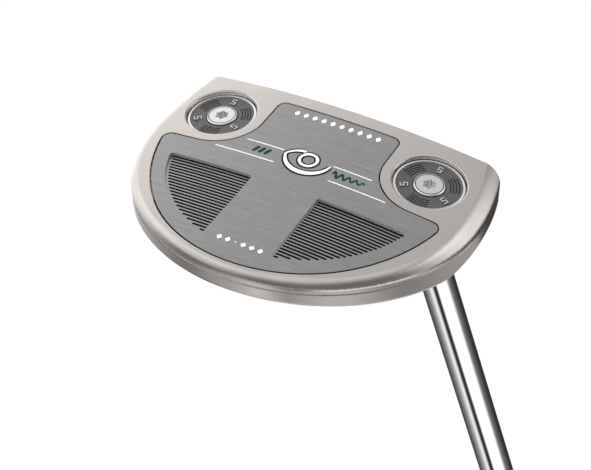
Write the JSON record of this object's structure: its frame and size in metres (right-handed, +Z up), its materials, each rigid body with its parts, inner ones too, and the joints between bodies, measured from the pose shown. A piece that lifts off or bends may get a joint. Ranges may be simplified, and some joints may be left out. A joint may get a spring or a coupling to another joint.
{
  "type": "mallet putter",
  "caption": "Half-moon mallet putter with a slotted light-alloy sole plate, screwed sole weights, a short slant neck, a straight steel shaft and a pistol grip.",
  "frame": {"origin": "middle of the sole, where the head touches the ground at address", "axes": "+Z up, -Y the way the face looks, +X to the heel; the shaft leans to +X at the lie angle"},
  "size_m": [0.3623, 0.0834, 0.8441],
  "materials": {
    "head_steel": "satin bead-blasted and brushed stainless steel, warm silver",
    "plate_alloy": "grey anodised, brushed from toe to heel",
    "film": "black acrylic adhesive film",
    "weight_alloy": "dark anodised ring face with a bright turned rim",
    "screw_steel": "bright turned stainless steel",
    "ring_rubber": "black nitrile",
    "shaft_chrome": "polished chrome plate on steel",
    "bond": "cured epoxy",
    "grip_rubber": "fine textured black rubber with white painted lines",
    "cap_rubber": "matt grey rubber",
    "tape": "double-sided paper tape"
  },
  "bodies": {
    "root": {"head_body": "head_steel", "sole_plate": "plate_alloy", "plate_adhesive": "film", "hosel_neck": "head_steel", "hosel_screw": "screw_steel", "shaft": "shaft_chrome", "shaft_epoxy": "bond", "grip_body": "grip_rubber", "grip_tape": "tape", "grip_cap": "cap_rubber"},
    "toe_weight": {"toe_weight": "weight_alloy"},
    "toe_weight_screw": {"toe_weight_screw": "screw_steel", "toe_screw_ring": "ring_rubber"},
    "heel_weight": {"heel_weight": "weight_alloy"},
    "heel_weight_screw": {"heel_weight_screw": "screw_steel", "heel_screw_ring": "ring_rubber"}
  },
  "joints": [
    {"name": "toe_weight_slide", "type": "slide", "parent": "root", "child": "toe_weight", "axis": [-0.0954, 0, -0.9954], "range_m": [0, 0.0056]},
    {"name": "toe_screw_turn", "type": "hinge", "parent": "toe_weight", "child": "toe_weight_screw", "pos_m": [-0.03253, -0.0124, 0.00155], "axis": [-0.0954, 0, -0.9954], "range_deg": [0, 2520]},
    {"name": "heel_weight_slide", "type": "slide", "parent": "root", "child": "heel_weight", "axis": [0.0954, 0, -0.9954], "range_m": [0, 0.0056]},
    {"name": "heel_screw_turn", "type": "hinge", "parent": "heel_weight", "child": "heel_weight_screw", "pos_m": [0.03253, -0.0124, 0.00155], "axis": [0.0954, 0, -0.9954], "range_deg": [0, 2520]}
  ],
  "couplings": [
    {"joint": "toe_screw_turn", "follows": "toe_weight_slide", "rad_per_m": 7854},
    {"joint": "heel_screw_turn", "follows": "heel_weight_slide", "rad_per_m": 7854}
  ]
}
